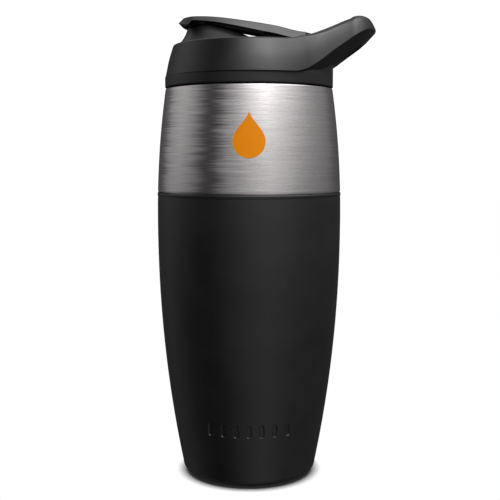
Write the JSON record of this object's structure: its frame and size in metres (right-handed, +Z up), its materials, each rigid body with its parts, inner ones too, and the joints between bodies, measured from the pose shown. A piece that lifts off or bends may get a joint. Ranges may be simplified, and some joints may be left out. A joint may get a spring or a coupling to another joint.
{
  "type": "insulated shaker bottle",
  "caption": "Steel vacuum shaker bottle with black grip sleeve, screw lid, spout with hinged flip cap, carry loop and inner mixing grid.",
  "frame": {"origin": "centre of the flat base, on the surface that the bottle stands on", "axes": "+Z up along the bottle's axis; -Y towards the emblem side; +X towards the carry loop; -X towards the spout"},
  "size_m": [0.1064, 0.09, 0.2245],
  "materials": {
    "brushed_steel": "fine horizontal brushing, slightly warm grey",
    "inner_steel": "satin, unpainted",
    "grip_silicone": "soft-touch black, low sheen",
    "orange_print": "flat orange print, low gloss",
    "lid_plastic": "satin black moulding",
    "band_plastic": "satin black moulding with a fine grain",
    "cap_plastic": "satin black moulding with a fine grain",
    "seal_rubber": "matte dark grey silicone",
    "grid_plastic": "matte dark grey"
  },
  "bodies": {
    "bottle": {"outer_shell": "brushed_steel", "inner_flask": "inner_steel", "base_disc": "inner_steel", "vacuum_seal": "inner_steel", "getter": "inner_steel", "grip_sleeve": "grip_silicone", "emblem": "orange_print"},
    "gasket": {"lid_gasket": "seal_rubber"},
    "lid": {"lid_shell": "lid_plastic", "carry_band": "band_plastic", "hinge_pin": "inner_steel"},
    "cap": {"flip_cap": "cap_plastic", "spout_plug": "seal_rubber"},
    "grid": {"mixing_grid": "grid_plastic"}
  },
  "joints": [
    {"name": "lid_rise", "type": "slide", "parent": "bottle", "child": "gasket", "axis": [0, 0, 1], "range_m": [0, 0.012]},
    {"name": "lid_turn", "type": "hinge", "parent": "gasket", "child": "lid", "pos_m": [0, 0, 0.1904], "axis": [0, 0, 1], "range_deg": [0, 360]},
    {"name": "cap_hinge", "type": "hinge", "parent": "lid", "child": "cap", "pos_m": [0.031, 0, 0.2126], "axis": [0, 1, 0], "range_deg": [0, 130]},
    {"name": "grid_release", "type": "slide", "parent": "lid", "child": "grid", "axis": [0, 0, -1], "range_m": [0, 0.025]}
  ],
  "couplings": [
    {"joint": "lid_rise", "follows": "lid_turn", "m_per_rad": 0.0019099}
  ]
}
